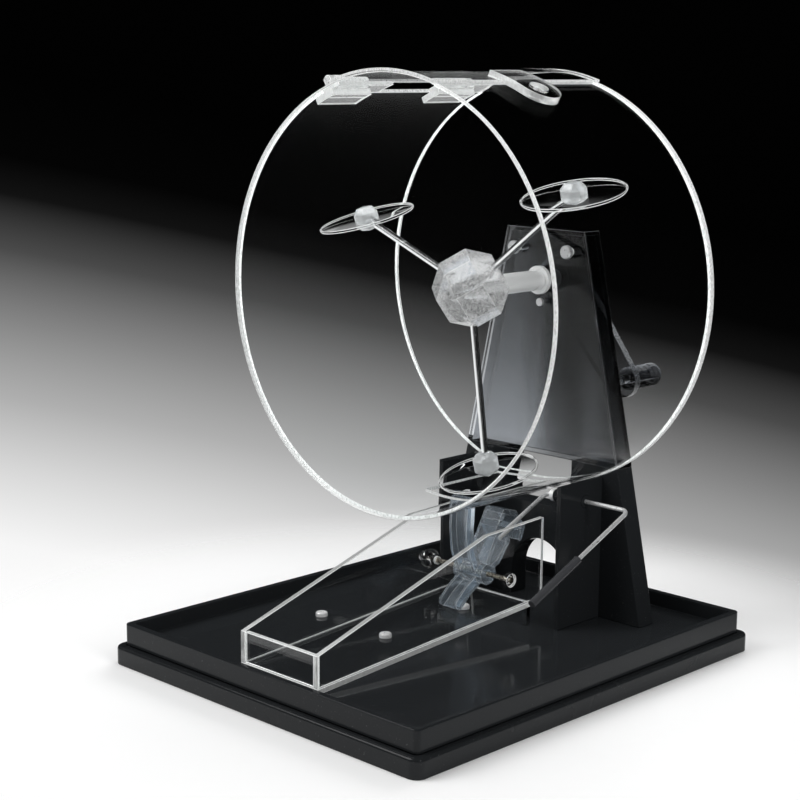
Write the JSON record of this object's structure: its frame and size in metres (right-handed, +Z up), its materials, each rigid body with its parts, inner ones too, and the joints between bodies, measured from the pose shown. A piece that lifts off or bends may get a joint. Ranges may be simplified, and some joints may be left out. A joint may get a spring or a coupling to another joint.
{
  "type": "raffle drum",
  "caption": "Clear tabletop drawing drum on a black tray base, with a crank-driven agitator, hinged lid, lever-worked ejector and ball chute.",
  "frame": {"origin": "centre of the base's underside", "axes": "+Y along the drum's axis from the front disc towards the column, +Z up, +X towards the lever side"},
  "size_m": [0.23, 0.268, 0.3188],
  "materials": {
    "black_plastic": "polished",
    "smoke_acrylic": "polished",
    "clear_acrylic": "polished",
    "clear_moulding": "polished",
    "white_plastic": "smooth",
    "grip_plastic": "smooth",
    "chrome_rod": "polished",
    "bright_steel": "smooth",
    "brass_screw": "smooth"
  },
  "bodies": {
    "stand": {"base_skirt": "black_plastic", "base_tray": "black_plastic", "base_screws": "bright_steel", "column_foot": "black_plastic", "cheeks": "black_plastic", "lever_boss": "black_plastic", "column": "smoke_acrylic", "drum_front": "clear_acrylic", "drum_back": "clear_acrylic", "drum_wall": "clear_acrylic", "disc_screws": "bright_steel", "axle_bushes": "white_plastic", "flange_screw": "bright_steel", "lid_pin": "bright_steel", "lid_brackets": "clear_acrylic", "chute_floor": "clear_acrylic", "chute_walls": "clear_acrylic", "chute_front": "clear_acrylic", "chute_riser": "clear_acrylic", "pivot_screw": "brass_screw", "pivot_knob": "clear_moulding"},
    "agitator": {"hub": "clear_moulding", "arm_rods": "chrome_rod", "paddles": "clear_moulding", "axle_sleeve": "white_plastic", "spindle": "bright_steel", "crank_arm": "smoke_acrylic", "crank_nut": "chrome_rod", "grip_pin": "bright_steel"},
    "grip": {"crank_grip": "smoke_acrylic"},
    "lever": {"lever_wire": "bright_steel", "lever_grip": "grip_plastic", "lever_collar": "bright_steel"},
    "rocker": {"rocker": "clear_moulding"},
    "lid": {"lid": "clear_acrylic", "lid_tab": "clear_acrylic"}
  },
  "joints": [
    {"name": "agitator_spin", "type": "hinge", "parent": "stand", "child": "agitator", "pos_m": [0, 0.0235, 0.202], "axis": [0, 1, 0], "continuous": true},
    {"name": "grip_spin", "type": "hinge", "parent": "agitator", "child": "grip", "pos_m": [0.045, 0.117, 0.14838], "axis": [0, 1, 0], "continuous": true},
    {"name": "lever_hinge", "type": "hinge", "parent": "stand", "child": "lever", "pos_m": [0.0455, 0.0705, 0.0837], "axis": [1, 0, 0], "range_deg": [0, 14], "stiffness_Nm_per_rad": 0.02, "springref_deg": -20.05},
    {"name": "rocker_hinge", "type": "hinge", "parent": "stand", "child": "rocker", "pos_m": [0, 0.0285, 0.0435], "axis": [1, 0, 0], "range_deg": [-15.5, 0]},
    {"name": "lid_hinge", "type": "hinge", "parent": "stand", "child": "lid", "pos_m": [-0.04336, 0.02, 0.31207], "axis": [0, 1, 0], "range_deg": [-105, 0]}
  ],
  "couplings": [
    {"joint": "rocker_hinge", "follows": "lever_hinge", "ratio": -1.08}
  ]
}
